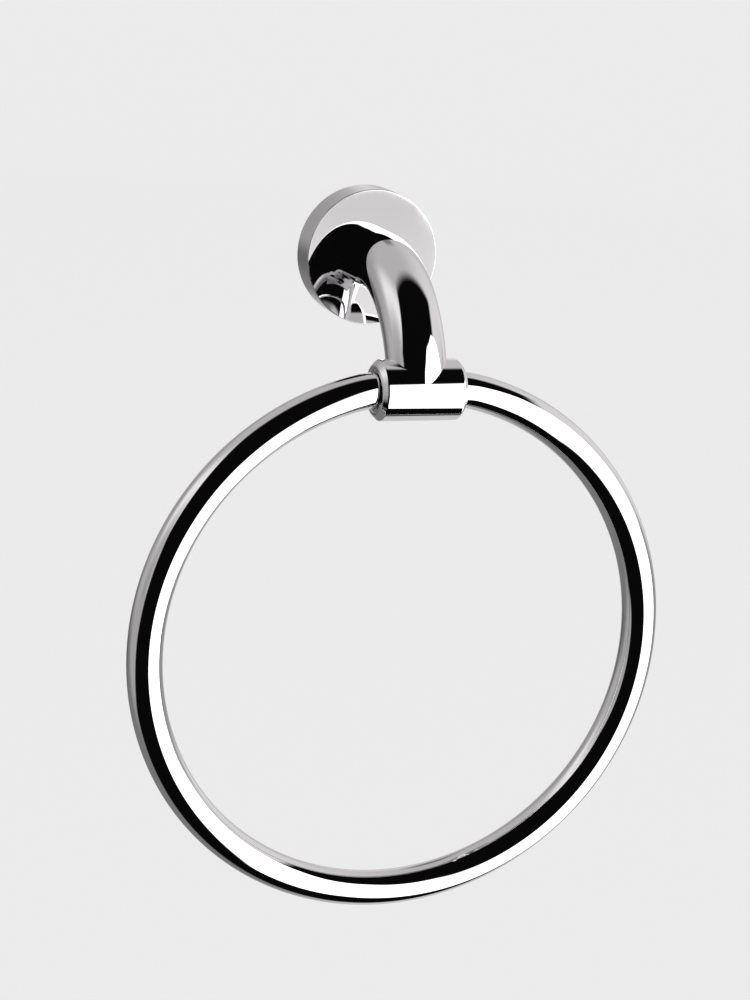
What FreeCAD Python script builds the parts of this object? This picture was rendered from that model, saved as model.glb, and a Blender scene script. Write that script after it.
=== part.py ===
import FreeCAD, Part

import math
import os

# A wall-fixed towel ring in polished chrome-plated brass. Millimetres, +Z up.
# The origin is the centre of the fixing's flat back, where it meets the wall plane Y = 0.
# The wall lies on the +Y side, the room on the -Y side, and the ring hangs parallel to the wall.

V = FreeCAD.Vector
X_AXIS = V(1, 0, 0)
Y_AXIS = V(0, 1, 0)
Z_AXIS = V(0, 0, 1)
HEXAGON_SIDES = 6
SAME_LENGTH_WITHIN = 0.001

# Driving dimensions of the round cover that hides the wall bracket.
cover_diameter = 47.0
cover_depth = 11.5
cover_face_thickness = 3.0
cover_wall = 2.6
cover_edge_radius = 0.3

# Driving dimensions of the swan-neck arm, measured along its centre line.
arm_root_diameter = 20.8
arm_end_diameter = 20.1
arm_root_straight = 9.0
arm_bend_radius = 42.0
arm_bend_degrees = 78.0
arm_end_straight = 2.2
spigot_diameter = 10.0
spigot_short_of_face = 0.3
spigot_clearance = 0.05

# Driving dimensions of the barrel at the arm's end, which carries the ring.
barrel_diameter = 20.4
barrel_length = 30.2
barrel_shoulder_setback = 1.7
barrel_shoulder_drop = 1.8
barrel_edge_radius = 0.8
barrel_dome_radius = 1.5
barrel_bore_diameter = 14.0
barrel_mouth_radius = 0.5

# Driving dimensions of the ring and of the pin that closes it inside the barrel.
ring_outer_diameter = 190.0
ring_bar_diameter = 12.0
ring_tube_wall = 1.2
ring_end_bend_radius = 30.0
ring_end_gap = 1.0
closing_pin_length = 20.0
closing_pin_clearance = 0.02
closing_pin_chamfer = 0.5

# Driving dimensions of the two plastic bushes that the ring turns in.
bush_length = 9.0
bush_recess = 2.5
bush_running_clearance = 0.05
bush_seat_clearance = 0.02
bush_to_bend = 0.5

# Driving dimensions of the turned wall bracket, a shallow pan with a groove round its rim.
bracket_plate = 2.0
bracket_rim_wall = 2.6
bracket_clearance = 0.25
bracket_front_clearance = 1.5
bracket_groove_depth = 1.3
bracket_groove_from_rim = 2.4
screw_spacing = 26.0
screw_slot_width = 4.6
screw_slot_length = 7.0

# Driving dimensions of the fixings inside the cover.
arm_screw_diameter = 6.0
arm_screw_grip = 12.0
arm_screw_head_diameter = 10.5
arm_screw_head_clearance = 1.0
arm_screw_socket = 4.0
arm_screw_socket_depth = 1.6
thread_clearance = 0.03
tapped_hole_spare = 2.0
washer_diameter = 17.0
washer_thickness = 1.2
washer_bore_clearance = 0.2
spring_washer_diameter = 11.0
spring_washer_thickness = 1.5
spring_washer_gap = 1.2
locating_pin_diameter = 3.0
locating_pin_offset = 7.4
locating_pin_in_arm = 4.0
locating_pin_clearance = 0.02
locating_pin_short_of_face = 0.3
grub_screw_diameter = 4.0
grub_screw_recess = 0.3
grub_screw_tip_clearance = 0.1
grub_screw_socket = 2.0
grub_screw_socket_depth = 1.5
point_cone_degrees = 45.0

# Sizes and places worked out from the driving dimensions.
cover_radius = cover_diameter / 2
cavity_radius = cover_radius - cover_wall
cavity_depth = cover_depth - cover_face_thickness
bend = math.radians(arm_bend_degrees)
arm_reach = arm_root_straight + arm_bend_radius * math.sin(bend) + arm_end_straight * math.cos(bend)
arm_drop = arm_bend_radius * (1 - math.cos(bend)) + arm_end_straight * math.sin(bend)
barrel_centre = V(0, -cover_depth - arm_reach, -arm_drop)
bore_radius = barrel_bore_diameter / 2
bar_radius = ring_bar_diameter / 2
ring_radius = ring_outer_diameter / 2 - bar_radius
bush_outer_end = barrel_length / 2 - bush_recess
ring_straight = bush_outer_end + bush_to_bend
bend_centres_apart = ring_radius - ring_end_bend_radius
ring_top_rise = bend_centres_apart - math.sqrt(bend_centres_apart ** 2 - ring_straight ** 2)
ring_centre = barrel_centre - Z_AXIS * (ring_radius - ring_top_rise)
bracket_radius = cavity_radius - bracket_clearance
bracket_rim_height = cavity_depth - bracket_front_clearance
bracket_groove_height = bracket_rim_height - bracket_groove_from_rim
arm_screw_seat = cavity_depth - washer_thickness - spring_washer_thickness
arm_screw_head_height = arm_screw_seat - bracket_plate - arm_screw_head_clearance


def cylinder(radius, start, end):
    """A round bar between two points."""
    along = end - start
    return Part.makeCylinder(radius, along.Length, start, along)


def hexagon_bar(across_flats, start, end):
    """A six-sided bar between two points, as the key socket of a screw."""
    along = end - start
    corner = along.cross(X_AXIS).normalize() * (across_flats / 2 / math.cos(math.pi / HEXAGON_SIDES))
    corners = []
    for step in range(HEXAGON_SIDES):
        turn = FreeCAD.Rotation(along, step * 360 / HEXAGON_SIDES)
        corners.append(start + turn.multVec(corner))
    return Part.Face(Part.makePolygon(corners + corners[:1])).extrude(along)


def turned(points, start, direction):
    """A lathe-turned piece: points are (radius, distance along the axis) round the section."""
    corners = [V(radius, 0, along) for radius, along in points]
    section = Part.Face(Part.makePolygon(corners + corners[:1]))
    solid = section.revolve(V(0, 0, 0), Z_AXIS, 360)
    solid.Placement = FreeCAD.Placement(start, FreeCAD.Rotation(Z_AXIS, direction))
    return solid


def same(first, second):
    """Whether two lengths are equal, for finding an edge by its radius or place."""
    return abs(first - second) < SAME_LENGTH_WITHIN


def round_edges_at(solid, radius, wanted):
    """Rounds the circular edges whose centre and radius pass the test."""
    edges = []
    for edge in solid.Edges:
        if isinstance(edge.Curve, Part.Circle) and wanted(edge.Curve.Center, edge.Curve.Radius):
            edges.append(edge)
    return solid.makeFillet(radius, edges)


def make_flange_cover():
    """The deep round cover: a thick face, a thin wall and an open back that meets the wall."""
    body = cylinder(cover_radius, V(0, 0, 0), -Y_AXIS * cover_depth)
    body = round_edges_at(body, cover_edge_radius, lambda centre, radius: centre.y < -cover_depth / 2)
    cavity = cylinder(cavity_radius, V(0, 0, 0), -Y_AXIS * cavity_depth)
    spigot_hole = cylinder(spigot_diameter / 2 + spigot_clearance, V(0, 0, 0), -Y_AXIS * cover_depth)
    pin_place = -Z_AXIS * locating_pin_offset
    pin_hole_radius = locating_pin_diameter / 2 + locating_pin_clearance
    pin_hole = cylinder(pin_hole_radius, pin_place, pin_place - Y_AXIS * cover_depth)
    grub_place = -Y_AXIS * bracket_groove_height
    grub_hole_radius = grub_screw_diameter / 2 + thread_clearance
    grub_hole = cylinder(grub_hole_radius, grub_place, grub_place - Z_AXIS * cover_diameter)
    return body.cut([cavity, spigot_hole, pin_hole, grub_hole])


def make_wall_bracket():
    """The pan screwed to the wall: a plate with two slots, and a rim with a V groove round it."""
    groove_radius = bracket_radius - bracket_groove_depth
    groove_half = bracket_groove_depth / math.tan(math.radians(point_cone_degrees))
    pan = turned(
        [
            (0, 0),
            (bracket_radius, 0),
            (bracket_radius, bracket_groove_height - groove_half),
            (groove_radius, bracket_groove_height),
            (bracket_radius, bracket_groove_height + groove_half),
            (bracket_radius, bracket_rim_height),
            (bracket_radius - bracket_rim_wall, bracket_rim_height),
            (bracket_radius - bracket_rim_wall, bracket_plate),
            (0, bracket_plate),
        ],
        V(0, 0, 0),
        -Y_AXIS,
    )
    slots = []
    for side in (-1, 1):
        middle = X_AXIS * (side * screw_spacing / 2)
        half_run = (screw_slot_length - screw_slot_width) / 2
        for end in (-1, 1):
            place = middle + X_AXIS * (end * half_run)
            slots.append(cylinder(screw_slot_width / 2, place, place - Y_AXIS * bracket_plate))
        corner = middle - X_AXIS * half_run - Z_AXIS * (screw_slot_width / 2)
        flat = Part.makeBox(2 * half_run, bracket_plate, screw_slot_width)
        flat.translate(corner - Y_AXIS * bracket_plate)
        slots.append(flat)
    return pan.cut(slots)


def make_arm_body():
    """The swan neck as one sweep: straight out of the face, a round bend, and down to the barrel."""
    root = -Y_AXIS * cover_depth
    bend_start = root - Y_AXIS * arm_root_straight
    bend_centre = bend_start - Z_AXIS * arm_bend_radius

    def on_bend(angle):
        return bend_centre + V(0, -math.sin(angle), math.cos(angle)) * arm_bend_radius

    path = Part.Wire(
        [
            Part.LineSegment(root, bend_start).toShape(),
            Part.Arc(bend_start, on_bend(bend / 2), on_bend(bend)).toShape(),
            Part.LineSegment(on_bend(bend), barrel_centre).toShape(),
        ]
    )
    end_direction = barrel_centre - on_bend(bend)
    root_circle = Part.Wire(Part.Circle(root, -Y_AXIS, arm_root_diameter / 2).toShape())
    end_circle = Part.Wire(Part.Circle(barrel_centre, end_direction, arm_end_diameter / 2).toShape())
    return path.makePipeShell([root_circle, end_circle], True, False)


def make_barrel():
    """The barrel before boring: a soft shoulder near each end, then a slope that rounds into the face."""
    full_radius = barrel_diameter / 2
    end_radius = full_radius - barrel_shoulder_drop
    barrel = turned(
        [
            (0, 0),
            (end_radius, 0),
            (full_radius, barrel_shoulder_setback),
            (full_radius, barrel_length - barrel_shoulder_setback),
            (end_radius, barrel_length),
            (0, barrel_length),
        ],
        barrel_centre - X_AXIS * (barrel_length / 2),
        X_AXIS,
    )
    barrel = round_edges_at(barrel, barrel_dome_radius, lambda centre, radius: same(radius, end_radius))
    return round_edges_at(barrel, barrel_edge_radius, lambda centre, radius: same(radius, full_radius))


def make_arm_with_barrel():
    """The arm and its barrel, joined before plating, with the bore, the mouths and the fixing holes."""
    half = X_AXIS * (barrel_length / 2)
    spigot_end = cavity_depth + spigot_short_of_face
    spigot = cylinder(spigot_diameter / 2, -Y_AXIS * spigot_end, -Y_AXIS * cover_depth)
    body = make_arm_body().fuse([make_barrel(), spigot]).removeSplitter()
    bore = cylinder(bore_radius, barrel_centre - half, barrel_centre + half)
    tapped_depth = spigot_end + arm_screw_grip + tapped_hole_spare
    tapped_radius = arm_screw_diameter / 2 + thread_clearance
    tapped_hole = cylinder(tapped_radius, -Y_AXIS * spigot_end, -Y_AXIS * tapped_depth)
    pin_place = -Z_AXIS * locating_pin_offset
    pin_hole_radius = locating_pin_diameter / 2 + locating_pin_clearance
    pin_hole_start = pin_place - Y_AXIS * cover_depth
    pin_hole = cylinder(pin_hole_radius, pin_hole_start, pin_hole_start - Y_AXIS * locating_pin_in_arm)
    body = body.cut([bore, tapped_hole, pin_hole])

    def at_mouth(centre, radius):
        return same(radius, bore_radius) and same(abs(centre.x), barrel_length / 2)

    return round_edges_at(body, barrel_mouth_radius, at_mouth)


def ring_bar(radius):
    """A solid bar along the ring: two straight ends, two short bends and the great arc between them."""
    straight_end = barrel_centre + X_AXIS * ring_straight
    gap_end = barrel_centre + X_AXIS * (ring_end_gap / 2)
    turn = math.degrees(math.asin(ring_straight / bend_centres_apart))
    bend_centre = straight_end - Z_AXIS * ring_end_bend_radius
    straight = cylinder(radius, gap_end, straight_end)
    section = Part.Face(Part.Wire(Part.Circle(straight_end, X_AXIS, radius).toShape()))
    short_bend = section.revolve(bend_centre, Y_AXIS, turn)
    end = straight.fuse(short_bend)
    section.rotate(bend_centre, Y_AXIS, turn)
    great_arc = section.revolve(ring_centre, Y_AXIS, 360 - 2 * turn)
    return great_arc.fuse([end, end.mirror(barrel_centre, X_AXIS)]).removeSplitter()


def make_ring_tube():
    """The ring itself, a tube bent to a circle whose two ends face each other inside the barrel."""
    return ring_bar(bar_radius).cut(ring_bar(bar_radius - ring_tube_wall))


def make_ring_closing_pin():
    """The turned pin inside the two tube ends, which closes the ring within the barrel."""
    half = X_AXIS * (closing_pin_length / 2)
    radius = bar_radius - ring_tube_wall - closing_pin_clearance
    pin = cylinder(radius, barrel_centre - half, barrel_centre + half)
    end_edges = [edge for edge in pin.Edges if isinstance(edge.Curve, Part.Circle)]
    return pin.makeChamfer(closing_pin_chamfer, end_edges)


def make_barrel_bush(side):
    """One bush, pressed into the barrel a little inside its mouth."""
    outer_end = barrel_centre + X_AXIS * (side * bush_outer_end)
    inner_end = outer_end - X_AXIS * (side * bush_length)
    sleeve = cylinder(bore_radius - bush_seat_clearance, inner_end, outer_end)
    return sleeve.cut(cylinder(bar_radius + bush_running_clearance, inner_end, outer_end))


def make_arm_washer():
    """The broad washer that clamps the cover to the arm's root."""
    front = -Y_AXIS * cavity_depth
    back = front + Y_AXIS * washer_thickness
    washer = cylinder(washer_diameter / 2, back, front)
    return washer.cut(cylinder(arm_screw_diameter / 2 + washer_bore_clearance, back, front))


def make_arm_spring_washer():
    """The split spring washer under the screw's head."""
    front = -Y_AXIS * (cavity_depth - washer_thickness)
    back = front + Y_AXIS * spring_washer_thickness
    washer = cylinder(spring_washer_diameter / 2, back, front)
    hole = cylinder(arm_screw_diameter / 2 + washer_bore_clearance, back, front)
    split = Part.makeBox(spring_washer_gap, spring_washer_thickness, spring_washer_diameter)
    split.translate(front - X_AXIS * (spring_washer_gap / 2))
    return washer.cut([hole, split])


def make_arm_screw():
    """The screw that holds the arm from behind, with a low head and a six-sided socket."""
    seat = -Y_AXIS * arm_screw_seat
    back = seat + Y_AXIS * arm_screw_head_height
    head = cylinder(arm_screw_head_diameter / 2, back, seat)
    shank_end = -Y_AXIS * (cavity_depth + spigot_short_of_face + arm_screw_grip)
    shank = cylinder(arm_screw_diameter / 2, seat, shank_end)
    socket = hexagon_bar(arm_screw_socket, back, back - Y_AXIS * arm_screw_socket_depth)
    return head.fuse(shank).removeSplitter().cut(socket)


def make_locating_pin():
    """The small pin that stops the arm from turning on the cover."""
    place = -Z_AXIS * locating_pin_offset
    start = place - Y_AXIS * (cavity_depth + locating_pin_short_of_face)
    end = place - Y_AXIS * (cover_depth + locating_pin_in_arm)
    return cylinder(locating_pin_diameter / 2, start, end)


def make_cover_grub_screw():
    """The grub screw under the cover: its cone point sits in the bracket's groove."""
    tip = bracket_radius - bracket_groove_depth + grub_screw_tip_clearance
    radius = grub_screw_diameter / 2
    cone = radius * math.tan(math.radians(point_cone_degrees))
    length = cover_radius - grub_screw_recess - tip
    start = V(0, -bracket_groove_height, -tip)
    screw = turned([(0, 0), (radius, cone), (radius, length), (0, length)], start, -Z_AXIS)
    outer_end = start - Z_AXIS * length
    socket = hexagon_bar(grub_screw_socket, outer_end, outer_end + Z_AXIS * grub_screw_socket_depth)
    return screw.cut(socket)


pieces = {
    "wall_bracket": make_wall_bracket(),
    "flange_cover": make_flange_cover(),
    "cover_grub_screw": make_cover_grub_screw(),
    "arm_with_barrel": make_arm_with_barrel(),
    "arm_screw": make_arm_screw(),
    "arm_spring_washer": make_arm_spring_washer(),
    "arm_washer": make_arm_washer(),
    "locating_pin": make_locating_pin(),
    "barrel_bush_left": make_barrel_bush(-1),
    "barrel_bush_right": make_barrel_bush(1),
    "ring_tube": make_ring_tube(),
    "ring_closing_pin": make_ring_closing_pin(),
}

os.makedirs("parts", exist_ok=True)
for name, shape in pieces.items():
    shape.exportStep(f"parts/{name}.step")
    box = shape.BoundBox
    print(
        f"{name}: {len(shape.Solids)} solid, valid {shape.isValid()}, {shape.Volume:.1f} mm3,"
        f" X {box.XMin:.2f} to {box.XMax:.2f}, Y {box.YMin:.2f} to {box.YMax:.2f},"
        f" Z {box.ZMin:.2f} to {box.ZMax:.2f}"
    )
print(f"barrel axis at Y {barrel_centre.y:.3f}, Z {barrel_centre.z:.3f}")
print(f"ring centre at Z {ring_centre.z:.3f}")
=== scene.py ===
# %% [markdown]
# # A towel ring in polished chrome
# The object is a towel ring for a bathroom wall: a round flange, a swan-neck arm, a short barrel at the
# arm's end, and a ring that swings in the barrel. Its construction model comes first and is never moved or
# reshaped. This file dresses it, so every size here is one of the construction model's own. Lengths are in
# metres, +Z is up, the wall is on the +Y side and the room on the -Y side.

import math

import bmesh
import bpy
from mathutils import Matrix, Vector


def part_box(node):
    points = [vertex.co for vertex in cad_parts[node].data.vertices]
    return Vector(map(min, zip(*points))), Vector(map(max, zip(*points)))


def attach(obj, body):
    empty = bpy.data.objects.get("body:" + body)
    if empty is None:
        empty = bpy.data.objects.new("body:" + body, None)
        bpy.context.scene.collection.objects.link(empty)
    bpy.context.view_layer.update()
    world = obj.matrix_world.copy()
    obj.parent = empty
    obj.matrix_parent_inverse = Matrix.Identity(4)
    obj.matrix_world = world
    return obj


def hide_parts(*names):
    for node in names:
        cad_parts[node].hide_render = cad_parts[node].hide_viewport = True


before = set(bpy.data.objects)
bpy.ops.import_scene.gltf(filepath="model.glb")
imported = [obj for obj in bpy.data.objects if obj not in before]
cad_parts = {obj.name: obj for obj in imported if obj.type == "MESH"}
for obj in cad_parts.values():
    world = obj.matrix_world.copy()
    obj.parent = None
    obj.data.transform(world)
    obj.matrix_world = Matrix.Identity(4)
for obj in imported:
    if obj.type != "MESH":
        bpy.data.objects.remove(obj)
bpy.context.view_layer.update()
print("nodes:", ", ".join(sorted(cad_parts)))

# %% [markdown]
# ## One way of making every polished skin
# A mirror shows each small error of a surface: where flat facets are only blended, the reflections wobble.
# The usual answer is a very dense mesh. Here each skin is made of strips of four-sided faces between rings
# of points, and every face corner is given the exact direction of the real surface, so a modest mesh
# reflects like a turned or bent one and a sharp edge stays sharp.

# %% A skin with exact corner directions
MM = 0.001


class Skin:
    """Strips of four-sided faces between rings of points, with the true surface direction at each corner."""

    def __init__(self):
        self.points = []
        self.faces = []
        self.directions = []

    def ring(self, points):
        start = len(self.points)
        self.points += points
        return list(range(start, len(self.points)))

    def strip(self, near, far, near_directions, far_directions):
        for left in range(len(near)):
            right = (left + 1) % len(near)
            face = [near[left], near[right], far[right], far[left]]
            towards = [near_directions[left], near_directions[right]]
            towards += [far_directions[right], far_directions[left]]
            across = self.points[face[2]] - self.points[face[0]]
            along = self.points[face[3]] - self.points[face[1]]
            if across.cross(along).dot(sum(towards, Vector())) < 0:
                face.reverse()
                towards.reverse()
            self.faces.append(face)
            self.directions += towards

    def make(self, name):
        mesh = bpy.data.meshes.new(name)
        mesh.from_pydata([point * MM for point in self.points], [], self.faces)
        piece = bpy.data.objects.new(name, mesh)
        bpy.context.scene.collection.objects.link(piece)
        set_directions(mesh, self.directions)
        print(f"{name}: {len(mesh.vertices)} points, {len(mesh.polygons)} faces")
        return piece


def set_directions(mesh, directions):
    """Gives each face corner its own direction; the list follows the mesh's own order of corners."""
    mesh.shade_smooth()
    mesh.normals_split_custom_set([tuple(direction.normalized()) for direction in directions])


# %% [markdown]
# ## Turned pieces
# The flange and the barrel are turned on a lathe. A lathe needs only the outline of half a section, so that
# is what is written down: its corners in order, each with the radius that breaks it. The outline runs with
# the metal on its right-hand side, which is how the code knows the outside from the inside.

# %% Outline of a turned section
def rounded_outline(corners, steps):
    """Runs of (along, radius, direction along, direction outwards) round a closed section.
    A corner is (along, radius, rounding). Each straight side and each rounding is a run of its own."""
    runs = []
    count = len(corners)
    sides = []
    for index in range(count):
        here = Vector(corners[index][:2])
        following = Vector(corners[(index + 1) % count][:2])
        sides.append((following - here).normalized())
    cut_backs = []
    for index in range(count):
        turning = math.acos(max(-1, min(1, sides[index - 1].dot(sides[index]))))
        cut_backs.append(corners[index][2] * math.tan(turning / 2))
    for index in range(count):
        here = Vector(corners[index][:2])
        following = Vector(corners[(index + 1) % count][:2])
        side = sides[index]
        outwards = Vector((-side.y, side.x))
        before = sides[index - 1]
        before_outwards = Vector((-before.y, before.x))
        radius = corners[index][2]
        if radius > 0:
            swing = before_outwards.angle_signed(outwards)
            hollow = 1 if swing > 0 else -1
            centre = here - before * cut_backs[index] - before_outwards * radius * hollow
            run = []
            for step in range(steps + 1):
                turn = -swing * step / steps
                direction = Vector(
                    (
                        before_outwards.x * math.cos(turn) - before_outwards.y * math.sin(turn),
                        before_outwards.x * math.sin(turn) + before_outwards.y * math.cos(turn),
                    )
                )
                place = centre + direction * radius * hollow
                run.append((place.x, place.y, direction.x, direction.y))
            runs.append(run)
        start = here + side * cut_backs[index]
        end = following - side * cut_backs[(index + 1) % count]
        runs.append([(start.x, start.y, outwards.x, outwards.y), (end.x, end.y, outwards.x, outwards.y)])
    return runs


# %% A lathe for skins
def turned(skin, runs, centre, axis, first, sides):
    """Adds the closed skin that the outline sweeps round the axis through centre."""
    second = axis.cross(first)
    angles = [2 * math.pi * step / sides for step in range(sides)]
    spokes = [first * math.cos(angle) + second * math.sin(angle) for angle in angles]

    def ring_at(sample):
        return [centre + axis * sample[0] + spoke * sample[1] for spoke in spokes]

    def directions_at(sample):
        return [axis * sample[2] + spoke * sample[3] for spoke in spokes]

    opening = skin.ring(ring_at(runs[0][0]))
    near = opening
    samples = [(run[index], run[index + 1]) for run in runs for index in range(len(run) - 1)]
    for number, (here, there) in enumerate(samples):
        last = number == len(samples) - 1
        far = opening if last else skin.ring(ring_at(there))
        skin.strip(near, far, directions_at(here), directions_at(there))
        near = far


# %% [markdown]
# ## The camera
# The photograph was taken from the object's left and a little above, with the picture turned slightly
# clockwise. The camera is made early. Its place was found by matching outlines, and it is written as the
# photographer would say it: how far round, how high, how tilted, how far away, and how far the view's middle
# lies from the ring's centre.

# %% Camera
ring_low, ring_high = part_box("ring_tube")
ring_outer_radius = 95 * MM
ring_centre = Vector((0, (ring_low.y + ring_high.y) / 2, ring_low.z + ring_outer_radius))

round_to_left = math.radians(20.49)
above = math.radians(14.43)
tilt = math.radians(3.725)
distance = 0.9
focal_pixels = 2656.9
picture_height = 1000
view_left_of_ring = 8.284 * MM
view_above_ring = 48.124 * MM

back = Vector(
    (-math.sin(round_to_left) * math.cos(above), -math.cos(round_to_left) * math.cos(above), math.sin(above))
)
level_right = Vector((math.cos(round_to_left), -math.sin(round_to_left), 0))
level_up = back.cross(level_right)
right = level_right * math.cos(tilt) + level_up * math.sin(tilt)
up = level_up * math.cos(tilt) - level_right * math.sin(tilt)

camera = bpy.data.objects.new("camera", bpy.data.cameras.new("camera"))
bpy.context.scene.collection.objects.link(camera)
camera.data.sensor_width = 36
camera.data.lens = focal_pixels * camera.data.sensor_width / picture_height
camera.data.clip_end = 200
camera_place = ring_centre + back * distance - right * view_left_of_ring + up * view_above_ring
camera.matrix_world = Matrix.Translation(camera_place) @ Matrix((right, up, back)).transposed().to_4x4()
bpy.context.scene.camera = camera
print(f"camera at {tuple(round(value, 4) for value in camera_place)}, lens {camera.data.lens:.1f} mm")

# %% [markdown]
# ## The ring
# The real ring is a 12 mm brass tube bent round a former, with two straight ends that lie inside the barrel.
# A plain torus would lack those ends and the two short bends that lead into them, and the ring would then
# not enter the barrel's mouths squarely. So the tube follows a line of three kinds of piece: straight,
# short bend and great arc. The wall has its real thickness, which shows where the ends face each other.

# %% Line of the ring
barrel_centre = Vector((0, -62.0396, -35.4196))
bar_radius = 6.0
tube_wall = 1.2
ring_radius = 89.0
short_bend_radius = 30.0
straight_to = 13.1
half_gap = 0.5
short_turn = math.asin(straight_to / (ring_radius - short_bend_radius))
great_centre_drop = math.sqrt((ring_radius - short_bend_radius) ** 2 - straight_to**2) + short_bend_radius


def ring_line():
    """(place, heading) along the ring from one end to the other, both in the plane of the ring."""
    straight_steps, bend_steps, great_steps = 4, 8, 144
    half = []
    for step in range(straight_steps + 1):
        half.append((half_gap + (straight_to - half_gap) * step / straight_steps, 0, 0))
    for step in range(1, bend_steps + 1):
        turn = short_turn * step / bend_steps
        x = straight_to + short_bend_radius * math.sin(turn)
        half.append((x, short_bend_radius * (math.cos(turn) - 1), turn))
    for step in range(1, great_steps + 1):
        turn = short_turn + (math.pi - short_turn) * step / great_steps
        half.append((ring_radius * math.sin(turn), ring_radius * math.cos(turn) - great_centre_drop, turn))
    whole = half + [(-x, z, 2 * math.pi - turn) for x, z, turn in reversed(half[:-1])]
    for x, z, turn in whole:
        place = barrel_centre + Vector((x, 0, z))
        yield place, Vector((math.cos(turn), 0, -math.sin(turn)))


# %% Ring tube
ring_skin = Skin()
sides = 64
angles = [2 * math.pi * step / sides for step in range(sides)]
line = list(ring_line())
walls = []
for radius, facing in ((bar_radius, 1), (bar_radius - tube_wall, -1)):
    rows = []
    for place, heading in line:
        outward = heading.cross(Vector((0, 1, 0)))
        spokes = [outward * math.cos(angle) + Vector((0, 1, 0)) * math.sin(angle) for angle in angles]
        rows.append((ring_skin.ring([place + spoke * radius for spoke in spokes]), spokes))
    for (near, near_spokes), (far, far_spokes) in zip(rows, rows[1:]):
        ring_skin.strip(near, far, [s * facing for s in near_spokes], [s * facing for s in far_spokes])
    walls.append(rows)
for end, facing in ((0, -1), (-1, 1)):
    towards = [line[end][1] * facing] * sides
    ring_skin.strip(walls[0][end][0], walls[1][end][0], towards, towards)
ring_piece = ring_skin.make("ring_tube_chrome")

# %% [markdown]
# ## The arm and its barrel
# They are joined before plating, so they are one piece. The arm leaves the flange square, bends through 78
# degrees and meets the barrel in a sharp saddle line, with no fillet. Joining two meshes by subtraction
# would leave slivers along that line, and slivers spoil a mirror. So the arm's tube is measured instead:
# each of its long lines is followed until it reaches the barrel's surface and ends there.

# %% Line of the arm
arm_root = Vector((0, -11.5, 0))
arm_root_straight = 9.0
arm_bend_radius = 42.0
arm_bend = math.radians(78)
arm_end_straight = 2.2
arm_radii = (10.4, 10.05)
arm_length = arm_root_straight + arm_bend_radius * arm_bend + arm_end_straight
barrel_radius = 10.2
saddle_sunk = 0.02


def arm_at(travel):
    """Place, heading and outer side of the arm's centre line after some travel from the flange."""
    turn = min(max((travel - arm_root_straight) / arm_bend_radius, 0), arm_bend)
    before = min(travel, arm_root_straight)
    after = max(travel - arm_root_straight - arm_bend_radius * arm_bend, 0)
    heading = Vector((0, -math.cos(turn), -math.sin(turn)))
    outer = Vector((0, -math.sin(turn), math.cos(turn)))
    bend_centre = arm_root + Vector((0, -arm_root_straight, -arm_bend_radius))
    place = bend_centre + outer * arm_bend_radius + heading * after
    return place + Vector((0, arm_root_straight - before, 0)), heading, outer


def arm_point(travel, angle):
    """A point on the arm's skin and the direction of the skin there, with the arm's slight taper."""
    place, heading, outer = arm_at(travel)
    taper = (arm_radii[1] - arm_radii[0]) / arm_length
    spoke = Vector((1, 0, 0)) * math.cos(angle) + outer * math.sin(angle)
    return place + spoke * (arm_radii[0] + taper * travel), (spoke - heading * taper).normalized()


def travel_to_barrel(angle):
    """How far one long line of the arm runs before it meets the barrel's surface, found by halving."""
    short, long = arm_length - 1.6 * barrel_radius, arm_length
    for _ in range(40):
        middle = (short + long) / 2
        point = arm_point(middle, angle)[0] - barrel_centre
        if math.hypot(point.y, point.z) > barrel_radius - saddle_sunk:
            short = middle
        else:
            long = middle
    return (short + long) / 2


print(f"arm line {arm_length:.2f} mm")
print(f"saddle from {travel_to_barrel(0):.2f} to {travel_to_barrel(math.pi / 2):.2f} mm")

# %% Arm tube down to the saddle line
arm_skin = Skin()
arm_sides = 128
arm_angles = [2 * math.pi * step / arm_sides for step in range(arm_sides)]
ends = [travel_to_barrel(angle) for angle in arm_angles]
even_rows = 72
saddle_rows = 14
even_to = min(ends) - 3
travels = [[even_to * step / even_rows] * arm_sides for step in range(even_rows + 1)]
for step in range(1, saddle_rows + 1):
    travels.append([even_to + (end - even_to) * step / saddle_rows for end in ends])
arm_rows = []
for travel_row in travels:
    samples = [arm_point(travel, angle) for travel, angle in zip(travel_row, arm_angles)]
    points, directions = zip(*samples)
    arm_rows.append((arm_skin.ring(list(points)), list(directions)))
for (near, near_directions), (far, far_directions) in zip(arm_rows, arm_rows[1:]):
    arm_skin.strip(near, far, near_directions, far_directions)

# %% [markdown]
# The arm's foot is not seen, but it is real: a flat ring that bears on the flange, and a spigot that goes
# through it, tapped for the screw. Rings of points that step inwards from the tube's own first ring make it.

# %% Foot, spigot and tapped hole
spigot_radius = 5.0
spigot_length = 2.7
tapped_radius = 3.03
tapped_depth = 11.3
foot = [(0, spigot_radius), (spigot_length, spigot_radius), (spigot_length, tapped_radius)]
foot += [(-tapped_depth, tapped_radius), (-tapped_depth, 0.2)]
spokes = [Vector((math.cos(angle), 0, math.sin(angle))) for angle in arm_angles]
foot_rings = [arm_rows[0][0]]
for along, radius in foot:
    middle = arm_root + Vector((0, along, 0))
    foot_rings.append(arm_skin.ring([middle + spoke * radius for spoke in spokes]))
towards_wall = [Vector((0, 1, 0))] * arm_sides
inwards = [-spoke for spoke in spokes]
foot_directions = [towards_wall, spokes, towards_wall, inwards, towards_wall]
for near, far, directions in zip(foot_rings, foot_rings[1:], foot_directions):
    arm_skin.strip(near, far, directions, directions)

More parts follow.
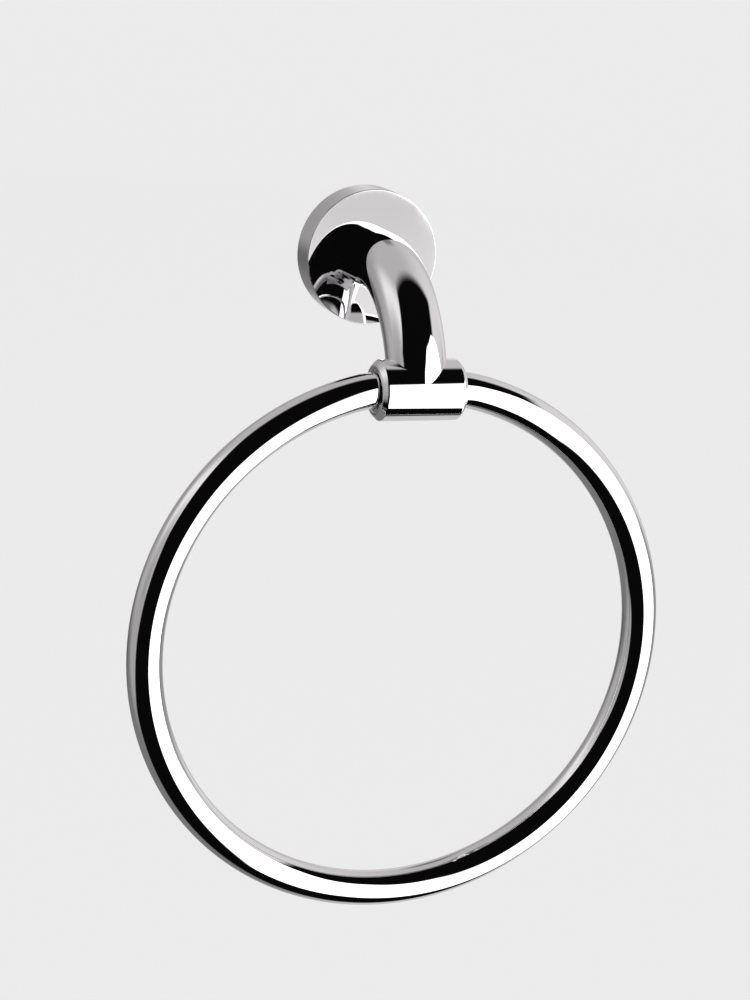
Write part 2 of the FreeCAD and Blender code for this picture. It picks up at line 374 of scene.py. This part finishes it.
# %% Barrel with sloping ends and rounded mouths
barrel_half = 15.1
bore_radius = 7.0
shoulder_setback = 1.7
shoulder_drop = 1.8
shoulder_rounding = 0.8
dome_rounding = 1.5
mouth_rounding = 0.5
half_outline = [
    (barrel_half - shoulder_setback, barrel_radius, shoulder_rounding),
    (barrel_half, barrel_radius - shoulder_drop, dome_rounding),
    (barrel_half, bore_radius, mouth_rounding),
]
mirrored_half = [(-along, radius, rounding) for along, radius, rounding in reversed(half_outline)]
barrel_outline = rounded_outline(mirrored_half[1:] + half_outline + mirrored_half[:1], 12)
turned(arm_skin, barrel_outline, barrel_centre, Vector((1, 0, 0)), Vector((0, 0, 1)), 160)
arm_piece = arm_skin.make("arm_with_barrel_chrome")

# %% [markdown]
# ## The flange
# It is a deep turned cup: a thick mirror-flat face, a thin wall, and an open back that sits on the wall
# plane. Two holes are drilled through it afterwards, one for the grub screw from below and one for the pin
# behind the arm. Drilling is a subtraction, and subtraction forgets the exact directions, so they are
# looked up again on the outline for every corner that is left.

# %% Turned cup
cover_depth = 11.5
cover_radius = 23.5
cavity_radius = 20.9
cavity_depth = 8.5
spigot_hole_radius = 5.05
front_edge_rounding = 0.3
edge_break = 0.12
cover_outline = rounded_outline(
    [
        (0, cover_radius, edge_break),
        (cover_depth, cover_radius, front_edge_rounding),
        (cover_depth, spigot_hole_radius, edge_break),
        (cavity_depth, spigot_hole_radius, edge_break),
        (cavity_depth, cavity_radius, edge_break),
        (0, cavity_radius, edge_break),
    ],
    8,
)
cover_skin = Skin()
turned(cover_skin, cover_outline, Vector((0, 0, 0)), Vector((0, -1, 0)), Vector((0, 0, 1)), 192)
cover_piece = cover_skin.make("flange_cover_chrome")


# %% Drill the grub-screw hole and the pin hole
drill_sides = 48


def drill(piece, radius, start, end):
    """Takes a round hole out of a piece; start and end are points in millimetres."""
    along = (end - start).normalized()
    first = along.orthogonal().normalized()
    second = along.cross(first)
    turns = [2 * math.pi * step / drill_sides for step in range(drill_sides)]
    spokes = [first * math.cos(turn) + second * math.sin(turn) for turn in turns]
    points = [(place + spoke * radius) * MM for place in (start, end) for spoke in spokes]
    faces = []
    for step in range(drill_sides):
        following = (step + 1) % drill_sides
        faces.append([step, following, drill_sides + following, drill_sides + step])
    faces += [list(range(drill_sides))[::-1], list(range(drill_sides, 2 * drill_sides))]
    mesh = bpy.data.meshes.new("drill")
    mesh.from_pydata(points, [], faces)
    tool = bpy.data.objects.new("drill", mesh)
    bpy.context.scene.collection.objects.link(tool)
    taking = piece.modifiers.new("hole", "BOOLEAN")
    taking.object = tool
    taking.operation = "DIFFERENCE"
    taking.solver = "EXACT"
    bpy.context.view_layer.update()
    drilled = bpy.data.meshes.new_from_object(piece.evaluated_get(bpy.context.evaluated_depsgraph_get()))
    piece.modifiers.clear()
    piece.data = drilled
    bpy.data.objects.remove(tool)


grub_height = 4.6
grub_hole_radius = 2.03
pin_drop = 7.4
pin_hole_radius = 1.52
drill(cover_piece, grub_hole_radius, Vector((0, -grub_height, -12)), Vector((0, -grub_height, -30)))
drill(cover_piece, pin_hole_radius, Vector((0, -6, -pin_drop)), Vector((0, -14, -pin_drop)))
print("flange after drilling:", len(cover_piece.data.polygons), "faces")


# %% Give the drilled flange its exact directions again
farthest_miss = 1.0
same_way = 0.9


def nearest_run(along, radius, face_along, face_outwards):
    """The run of the flange's outline nearest to a face that faces the same way, as (miss, run, index)."""
    best = (farthest_miss, None, 0)
    for run in cover_outline:
        for index in range(len(run) - 1):
            a, b = Vector(run[index][:2]), Vector(run[index + 1][:2])
            middle = (Vector(run[index][2:]) + Vector(run[index + 1][2:])).normalized()
            if middle.x * face_along + middle.y * face_outwards < same_way:
                continue
            span = b - a
            share = max(0, min(1, (Vector((along, radius)) - a).dot(span) / span.length_squared))
            miss = (a + span * share - Vector((along, radius))).length
            if miss < best[0]:
                best = (miss, run, index)
    return best


def hole_axis(centre, point):
    """The point on a drilled hole's axis beside a point of its wall."""
    if centre.z < -2 * pin_drop:
        return Vector((0, -grub_height, point.z))
    return Vector((0, point.y, -pin_drop))


def cover_directions(mesh):
    """A direction for each face corner: the outline's own, or towards the axis in a drilled hole."""
    directions = []
    for face in mesh.polygons:
        centre, facing = face.center / MM, face.normal
        spread = math.hypot(centre.x, centre.z)
        spoke = Vector((centre.x, 0, centre.z)) / spread
        miss, run, index = nearest_run(-centre.y, spread, -facing.y, facing.dot(spoke))
        for corner in face.vertices:
            point = mesh.vertices[corner].co / MM
            if run is None:
                directions.append(hole_axis(centre, point) - point)
                continue
            a, b = Vector(run[index][:2]), Vector(run[index + 1][:2])
            here = Vector((-point.y, math.hypot(point.x, point.z)))
            share = max(0, min(1, (here - a).dot(b - a) / (b - a).length_squared))
            section = Vector(run[index][2:]).lerp(Vector(run[index + 1][2:]), share)
            corner_spoke = Vector((point.x, 0, point.z)).normalized()
            directions.append(corner_spoke * section.y - Vector((0, 1, 0)) * section.x)
    return directions


set_directions(cover_piece.data, cover_directions(cover_piece.data))

# %% [markdown]
# ## Finishes
# A finish is a small network of nodes. Written out node by node, such a network is hard to read, so the
# arithmetic is written as ordinary Python: one class wraps a socket, and adding or multiplying two of them
# adds the nodes that do it.

# %% A socket that takes part in arithmetic
class Wire:
    """One socket of a node network. Arithmetic on it adds Math nodes, and add() makes any other node."""

    def __init__(self, tree, socket=None):
        self.tree = tree
        self.socket = socket

    def add(self, kind, settings=None, values=None, output=0):
        """Makes a node: first its settings, then a value or a wire for each named socket."""
        node = self.tree.nodes.new(kind)
        for name, setting in (settings or {}).items():
            if name == "stops":
                self.set_stops(node.color_ramp.elements, setting)
            else:
                setattr(node, name, setting)
        for name, value in (values or {}).items():
            if isinstance(value, Wire):
                self.tree.links.new(value.socket, node.inputs[name])
            else:
                node.inputs[name].default_value = value
        return Wire(self.tree, node.outputs[output] if node.outputs else None)

    @staticmethod
    def set_stops(elements, stops):
        while len(elements) < len(stops):
            elements.new(0.5)
        for element, (position, colour) in zip(elements, stops):
            element.position = position
            element.color = colour

    def output(self, name):
        """Another output of the node that this wire comes from."""
        return Wire(self.tree, self.socket.node.outputs[name])

    def maths(self, operation, first, second=0.0):
        return self.add("ShaderNodeMath", {"operation": operation}, {0: first, 1: second})

    def __add__(self, other):
        return self.maths("ADD", self, other)

    __radd__ = __add__

    def __sub__(self, other):
        return self.maths("SUBTRACT", self, other)

    def __rsub__(self, other):
        return self.maths("SUBTRACT", other, self)

    def __mul__(self, other):
        return self.maths("MULTIPLY", self, other)

    __rmul__ = __mul__

    def __pow__(self, other):
        return self.maths("POWER", self, other)

    def mix(self, low, high):
        """A colour that goes from low to high as this wire goes from 0 to 1."""
        return self.add("ShaderNodeMix", {"data_type": "RGBA"}, {"Factor": self, 6: low, 7: high}, output=2)


def finish(name, build):
    """Makes a material whose surface is what build returns."""
    material = bpy.data.materials.new(name)
    material.use_nodes = True
    material.node_tree.nodes.clear()
    wire = Wire(material.node_tree)
    wire.add("ShaderNodeOutputMaterial", None, {"Surface": build(wire)})
    print("finish:", name, len(material.node_tree.nodes), "nodes")
    return material


def noise(wire, place, scale, detail):
    """Soft random values from 0 to 1; scale is in patches per metre."""
    return wire.add("ShaderNodeTexNoise", None, {"Vector": place, "Scale": scale, "Detail": detail})


def stretched(wire, place, scale):
    """The same coordinates with each axis scaled by itself."""
    return wire.add("ShaderNodeMapping", None, {"Vector": place, "Scale": scale})


# %% [markdown]
# ### Polished chrome
# Chrome plate is a mirror with almost no colour of its own. What tells it from a perfect mirror is small:
# the polishing wheel leaves the brass under it very slightly wavy, and wiping leaves a faint haze that
# differs from place to place. Both are far below what a finger would feel.

# %% Polished chrome
def polished_chrome(wire):
    place = wire.add("ShaderNodeTexCoord", output="Object")
    haze = noise(wire, place, 42.0, 4.0)
    wiping = noise(wire, stretched(wire, place, (900.0, 60.0, 260.0)), 1.0, 2.0)
    waves = noise(wire, place, 55.0, 1.0)
    roughness = 0.012 + 0.05 * haze**3.0 + 0.012 * wiping**2.0
    bump = wire.add("ShaderNodeBump", None, {"Strength": 1.0, "Distance": 0.000012, "Height": waves})
    return wire.add(
        "ShaderNodeBsdfPrincipled",
        None,
        {
            "Base Color": haze.mix((0.88, 0.88, 0.89, 1), (0.84, 0.84, 0.85, 1)),
            "Metallic": 1.0,
            "Roughness": roughness,
            "Normal": bump,
        },
    )


chrome = finish("polished_chrome", polished_chrome)

# %% [markdown]
# ### Turned and plated small parts
# The bracket, washers and screws inside the cover come off a lathe, so their skins carry fine rings round
# the turning axis. The distance from that axis, fed to a wave, gives those rings; a little noise keeps
# them from looking printed. Zinc plate adds a soft bloom in its colour.


# %% Turned metals
def from_axis(wire, place, axis):
    """Distance from the object's turning axis, in metres: the coordinates with that axis flattened."""
    flat = {"X": (0.0, 1.0, 1.0), "Y": (1.0, 0.0, 1.0)}[axis]
    flattened = wire.add("ShaderNodeVectorMath", {"operation": "MULTIPLY"}, {0: place, 1: flat})
    return wire.add("ShaderNodeVectorMath", {"operation": "LENGTH"}, {0: flattened}, output="Value")


def turned_metal(axis, centre, dark, light, smooth, rough, rings_per_metre):
    """A finish with fine rings round an axis through centre, between two colours and two roughnesses."""

    def build(wire):
        place = wire.add("ShaderNodeTexCoord", output="Object")
        middle = tuple(centre * MM)
        moved = wire.add("ShaderNodeVectorMath", {"operation": "SUBTRACT"}, {0: place, 1: middle})
        unevenness = noise(wire, place, 300.0, 2.0) * 3.0
        ring_count = from_axis(wire, moved, axis) * rings_per_metre
        rings = wire.maths("SINE", ring_count * 2 * math.pi + unevenness)
        bloom = noise(wire, place, 160.0, 5.0)
        grain = noise(wire, place, 4000.0, 2.0)
        height = rings * 0.5 + grain
        bump = wire.add("ShaderNodeBump", None, {"Strength": 0.6, "Distance": 0.00002, "Height": height})
        return wire.add(
            "ShaderNodeBsdfPrincipled",
            None,
            {
                "Base Color": bloom.mix(dark, light),
                "Metallic": 1.0,
                "Roughness": smooth + (rough - smooth) * bloom + 0.03 * rings,
                "Normal": bump,
            },
        )

    return build


zero = Vector((0, 0, 0))
zinc = finish(
    "zinc_plated_steel",
    turned_metal("Y", zero, (0.50, 0.51, 0.54, 1), (0.70, 0.70, 0.69, 1), 0.26, 0.44, 1400.0),
)
steel = finish(
    "stainless_steel",
    turned_metal("Y", zero, (0.46, 0.46, 0.47, 1), (0.60, 0.60, 0.60, 1), 0.20, 0.34, 2200.0),
)
brass = finish(
    "bare_brass",
    turned_metal("X", barrel_centre, (0.66, 0.48, 0.20, 1), (0.82, 0.66, 0.34, 1), 0.20, 0.36, 2200.0),
)

# %% [markdown]
# ### Natural nylon
# The bushes are moulded or turned nylon: milky, a little waxy, neither white nor glossy. Some of the light
# that goes in comes out nearby, which is what subsurface scattering is for.


# %% Nylon
def natural_nylon(wire):
    place = wire.add("ShaderNodeTexCoord", output="Object")
    cloud = noise(wire, place, 220.0, 4.0)
    grain = noise(wire, place, 5000.0, 1.0)
    bump = wire.add("ShaderNodeBump", None, {"Strength": 0.4, "Distance": 0.00001, "Height": grain})
    return wire.add(
        "ShaderNodeBsdfPrincipled",
        None,
        {
            "Base Color": cloud.mix((0.74, 0.72, 0.66, 1), (0.84, 0.83, 0.79, 1)),
            "Roughness": 0.38 + 0.14 * cloud,
            "Subsurface Weight": 0.25,
            "Subsurface Radius": (0.002, 0.002, 0.0015),
            "Subsurface Scale": 1.0,
            "Normal": bump,
        },
    )


nylon = finish("nylon", natural_nylon)

# %% [markdown]
# ## Put the finishes on and let the three chrome skins ride
# The three chrome skins stand for the construction model's own nodes, which stay for the physics. The small
# parts keep their construction shapes and only get a finish. The ring rides on the body that swings.

# %% Dress the pieces
for piece, node, body in (
    (ring_piece, "ring_tube", "ring"),
    (arm_piece, "arm_with_barrel", "wall_fixing"),
    (cover_piece, "flange_cover", "wall_fixing"),
):
    piece.data.materials.clear()
    piece.data.materials.append(chrome)
    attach(piece, body)
    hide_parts(node)

small_parts = {
    "wall_bracket": zinc,
    "arm_washer": zinc,
    "arm_spring_washer": zinc,
    "arm_screw": steel,
    "cover_grub_screw": steel,
    "locating_pin": steel,
    "barrel_bush_left": nylon,
    "barrel_bush_right": nylon,
    "ring_closing_pin": brass,
}
for name, material in small_parts.items():
    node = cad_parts[name]
    node.data.materials.clear()
    node.data.materials.append(material)
print("dressed", 3 + len(small_parts), "pieces")

# %% [markdown]
# ## Floor, light and what the mirror sees
# Chrome shows its surroundings and nothing else, so the studio is as much a part of its look as its shape.

# %% Floor
floor_level = -1.6
floor_reach = 60
square = ((-1, -1), (1, -1), (1, 1), (-1, 1))
floor_corners = [(x * floor_reach, y * floor_reach, floor_level) for x, y in square]
floor_mesh = bpy.data.meshes.new("floor")
floor_mesh.from_pydata(floor_corners, [], [(0, 1, 2, 3)])
floor = bpy.data.objects.new("floor", floor_mesh)
bpy.context.scene.collection.objects.link(floor)


def pale_floor(wire):
    matt_grey = {"Base Color": (0.80, 0.80, 0.80, 1), "Roughness": 0.9, "Specular IOR Level": 0.1}
    return wire.add("ShaderNodeBsdfPrincipled", None, matt_grey)


floor_mesh.materials.append(finish("pale_floor", pale_floor))
floor.visible_glossy = False

# %% [markdown]
# ### What the mirror sees
# Chrome in an even white room looks like a drawing: nearly all of it reflects the room. Product
# photographers hang a tent of white cloth round such an object, and in it a bright panel and black cards, so
# that each curve gets a dark band beside a bright one. The tent here is one large glowing ball that only
# reflections see, with the cloth, the panel and the cards painted on it as a pattern of glow, so the
# chrome's bands are painted reflections. It neither lights the object nor hides the background. The world
# behind it stays plain and pale.
# A direction is read as two angles, as on a barrel that lies along X: side is how far to the right it
# points, and lift is how far round it has turned, from 0 at the back over 90 at the top to 180 at the front.

# %% Two angles for each direction
def lift_and_side(wire):
    """The direction from the tent's middle to its skin, as (lift, side) in degrees."""
    place = wire.add("ShaderNodeTexCoord", output="Object")
    outwards = wire.add("ShaderNodeVectorMath", {"operation": "NORMALIZE"}, {0: place})
    parts = wire.add("ShaderNodeSeparateXYZ", None, {"Vector": outwards})
    x, y, z = (parts.output(name) for name in "XYZ")
    to_degrees = 180 / math.pi
    return wire.maths("ARCTAN2", z, y) * to_degrees, wire.maths("ARCSINE", x) * to_degrees


def rising(wire, value, start, end):
    """0 below start, 1 above end, and smooth between them."""
    return wire.add(
        "ShaderNodeMapRange",
        {"interpolation_type": "SMOOTHSTEP"},
        {"Value": value, "From Min": start, "From Max": end},
    )


def within(wire, value, low, high, soft):
    """1 between low and high, falling to 0 over a soft edge on each side."""
    return rising(wire, value, low - soft, low + soft) * (1 - rising(wire, value, high - soft, high + soft))


def over(wire, value, start):
    """How far a value is above start, and 0 below it."""
    return wire.maths("MAXIMUM", value - start, 0.0)


def blend(share, low, high):
    """A number that goes from low to high as share goes from 0 to 1."""
    return low * (1 - share) + high * share


# %% Painted glow of the cloth, from left to right
def hill(wire, side, middle, reach):
    """A painted glow on the cloth, standing in for a lamp behind it: 1 in the middle and 0 beyond its reach
    to either side.
    """
    return rising(wire, side, middle - reach, middle) * (1 - rising(wire, side, middle, middle + reach))


def cloth(wire, lift, side):
    """Painted brightness of the white cloth, highest up, left and right, where painted glows stand in for
    lamps behind it.
    """
    left_painted_glow = hill(wire, side, -52, 20)
    broad_right_painted_glow = hill(wire, side, 62, 62)
    high = 0.30 + rising(wire, side, -95, -65) * 0.20 + left_painted_glow * 0.42 + broad_right_painted_glow * 0.26
    right_half = rising(wire, side, -8, 22) * (1 - rising(wire, side, 62, 86))
    behind = 0.34 + hill(wire, side, -60, 34) * 0.13 + right_half * 0.22 + hill(wire, side, 60, 24) * 0.24
    far_left = 1 - rising(wire, side, -66, -44)
    low_painted_glow = rising(wire, side, -4, 20) * (1 - rising(wire, side, 27, 48))
    low = 0.20 + far_left * 0.20 + low_painted_glow * 0.42 + rising(wire, side, 25, 45) * 0.12
    # Painted shade of a fold, a painted dim patch and a painted bright patch in the cloth's glow.
    painted_fold_shade = within(wire, side, 3, 14, 3) * within(wire, lift, 26, 46, 5)
    dim = within(wire, side, -32, -12, 6) * within(wire, lift, -24, -4, 6)
    bright = within(wire, side, 13, 28, 6) * within(wire, lift, 8, 24, 6)
    upper = blend(rising(wire, lift, 12, 44), behind, high)
    level = blend(rising(wire, lift, -26, 0), low, upper)
    return level * (1 - painted_fold_shade * 0.6) * (1 - dim * 0.5) * (1 + bright * 0.35)


# %% [markdown]
# The front of the tent holds the black card and the bright panel. Here the second angle is counted from
# straight ahead instead: turn is 0 ahead, 90 at the top and -90 at the bottom. Each edge is a line or a bent
# line in side and turn, chosen so that the bands on the ring, the arm and the barrel fall where they do in
# the photograph.

# %% Black card
def inside(wire, value, start, end, soft):
    """1 between two edges that may be wires themselves, with a soft rim of a few degrees."""
    return rising(wire, value - start, -soft, soft) * (1 - rising(wire, value - end, -soft, soft))


# Painted reflection: a dark patch cut into the tent's glow, which the chrome shows as black bands.
def black_card(wire, turn, side):
    left = over(wire, turn, 52) * 0.72 + over(wire, -35 - turn, 0) * 0.2 - 67
    roof = wire.maths("MINIMUM", over(wire, turn, 36) * 1.6 + 22, 51.0)
    right = roof + (1 - rising(wire, turn, 34, 36)) * 90
    bottom = -88 - over(wire, side, -50) * 0.2
    card = rising(wire, side - left, -4, 2) * (1 - rising(wire, side - right, -2, 4))
    return card * rising(wire, turn - bottom, -4, 4) * (1 - rising(wire, turn, 90, 104))


# %% Bright panel
panel_brightness = 2.2
panel_top = [(24, 37), (35, 43), (45, 53), (60, 58)]


def edge(wire, side, corners):
    """The turn of a bent edge at each side, from a list of (side, turn); a ramp's own values end at 1."""
    ramp = [((degrees + 90) / 180, (turn / 100, turn / 100, turn / 100, 1)) for degrees, turn in corners]
    return wire.add("ShaderNodeValToRGB", {"stops": ramp}, {"Fac": (side + 90) * (1 / 180)}) * 100


# Painted reflection: a patch of strong glow on the tent, which the chrome shows as white bands; it lights
# nothing.
def bright_panel(wire, turn, side):
    left = 12.5 - over(wire, -15 - turn, 0) * 0.3 + over(wire, turn, 18) * 0.6
    bottom = wire.maths("MAXIMUM", -48.5 - over(wire, side, 15) * 2.1, over(wire, side, 52) * 0.7 - 110)
    top = edge(wire, side, panel_top)
    panel = rising(wire, side - left, -1.5, 1.5) * (1 - rising(wire, side, 80, 90))
    return panel * inside(wire, turn, bottom, top, 1.5)


# %% Tent
card_glow = 0.003


def tent(wire):
    lift, side = lift_and_side(wire)
    upper_half = wire.maths("GREATER_THAN", lift, 0.0)
    turn = blend(upper_half, -180 - lift, 180 - lift)
    around = cloth(wire, lift, side) * (1 - black_card(wire, turn, side)) + card_glow
    return blend(bright_panel(wire, turn, side), around, panel_brightness)


# %% Objects that only reflections see
def glow(name, brightness):
    """A material that shines with a pattern of brightness, very slightly warm."""
    material = bpy.data.materials.new(name)
    material.use_nodes = True
    material.node_tree.nodes.clear()
    wire = Wire(material.node_tree)
    warm = wire.add(
        "ShaderNodeMix",
        {"data_type": "RGBA", "clamp_factor": False},
        {"Factor": brightness(wire), 6: (0, 0, 0, 1), 7: (1.0, 0.975, 0.975, 1)},
        output=2,
    )
    shine = wire.add("ShaderNodeEmission", None, {"Color": warm})
    wire.add("ShaderNodeOutputMaterial", None, {"Surface": shine})
    material.cycles.emission_sampling = "NONE"
    print("glow:", name, len(material.node_tree.nodes), "nodes")
    return material


def seen_in_mirrors(name, mesh, material, place):
    """Staging that neither the camera nor the light sees, only a reflection."""
    thing = bpy.data.objects.new(name, mesh)
    bpy.context.scene.collection.objects.link(thing)
    thing.location = place
    mesh.materials.append(material)
    thing.visible_camera = False
    thing.visible_diffuse = False
    thing.visible_shadow = False
    thing.visible_transmission = True


tent_mesh = bpy.data.meshes.new("tent")
ball = bmesh.new()
bmesh.ops.create_icosphere(ball, subdivisions=5, radius=12)
ball.to_mesh(tent_mesh)
ball.free()
# The tent's glow is painted light that only reflections see: the chrome's bands are painted reflections.
seen_in_mirrors("tent", tent_mesh, glow("tent_painted_glow", tent), barrel_centre * MM)

# %% [markdown]
# The flange's face is flat, so it mirrors just one small patch of the room, and a bright panel there would
# turn the whole face blank white. A small grey card, as a photographer holds one, sits in that one line of
# sight; it glows with painted light, brighter towards the bottom, so the flange shows a painted reflection.
# Each round piece mirrors the card too, but only as a speck. Its place follows from the law of reflection.

# %% Glowing grey card in the flange's line of sight, a painted reflection
face_middle = Vector((0, -cover_depth, 0)) * MM
arriving = (face_middle - camera_place).normalized()
leaving = Vector((arriving.x, -arriving.y, arriving.z))
card_distance = 10.0
card_radius = cover_radius * MM * (1 + card_distance / (face_middle - camera_place).length)
card_place = face_middle + leaving * card_distance


def painted_reflection_card(wire):
    """Painted glow, light grey and brighter towards the bottom, which the flange face shows as a painted
    reflection.
    """
    place = wire.add("ShaderNodeTexCoord", output="Object")
    height = wire.add("ShaderNodeSeparateXYZ", None, {"Vector": place}).output("Z")
    return blend(rising(wire, height, -card_radius, card_radius), 0.90, 0.69)


card_right = leaving.cross(Vector((0, 0, 1))).normalized()
card_up = card_right.cross(leaving)
card_sides = 96
card_turns = [2 * math.pi * step / card_sides for step in range(card_sides)]
rim = [(card_right * math.cos(turn) + card_up * math.sin(turn)) * card_radius for turn in card_turns]
card_mesh = bpy.data.meshes.new("painted_reflection_card")
card_mesh.from_pydata(rim, [], [list(range(card_sides))])
seen_in_mirrors("painted_reflection_card", card_mesh, glow("painted_reflection_card", painted_reflection_card), card_place)
print("grey card at", tuple(round(value, 3) for value in card_place))

# %% Pale world
world = bpy.data.worlds.new("studio")
bpy.context.scene.world = world
world.use_nodes = True
world.node_tree.nodes.clear()
sky = Wire(world.node_tree)
pale = sky.add("ShaderNodeBackground", None, {"Color": (0.82, 0.82, 0.82, 1)})
sky.add("ShaderNodeOutputWorld", None, {"Surface": pale})

# %% Soft key light
key = bpy.data.objects.new("key", bpy.data.lights.new("key", "SUN"))
bpy.context.scene.collection.objects.link(key)
key.data.energy = 0.9
key.data.angle = math.radians(24)
key.rotation_mode = "QUATERNION"
key.rotation_quaternion = Vector((0.45, -0.55, 0.9)).to_track_quat("Z", "Y")
key.visible_glossy = False

# %% [markdown]
# ## Finish
# The picture's colours are shown plainly, with the standard view transform.

# %% View transform
bpy.context.scene.view_settings.view_transform = "Standard"
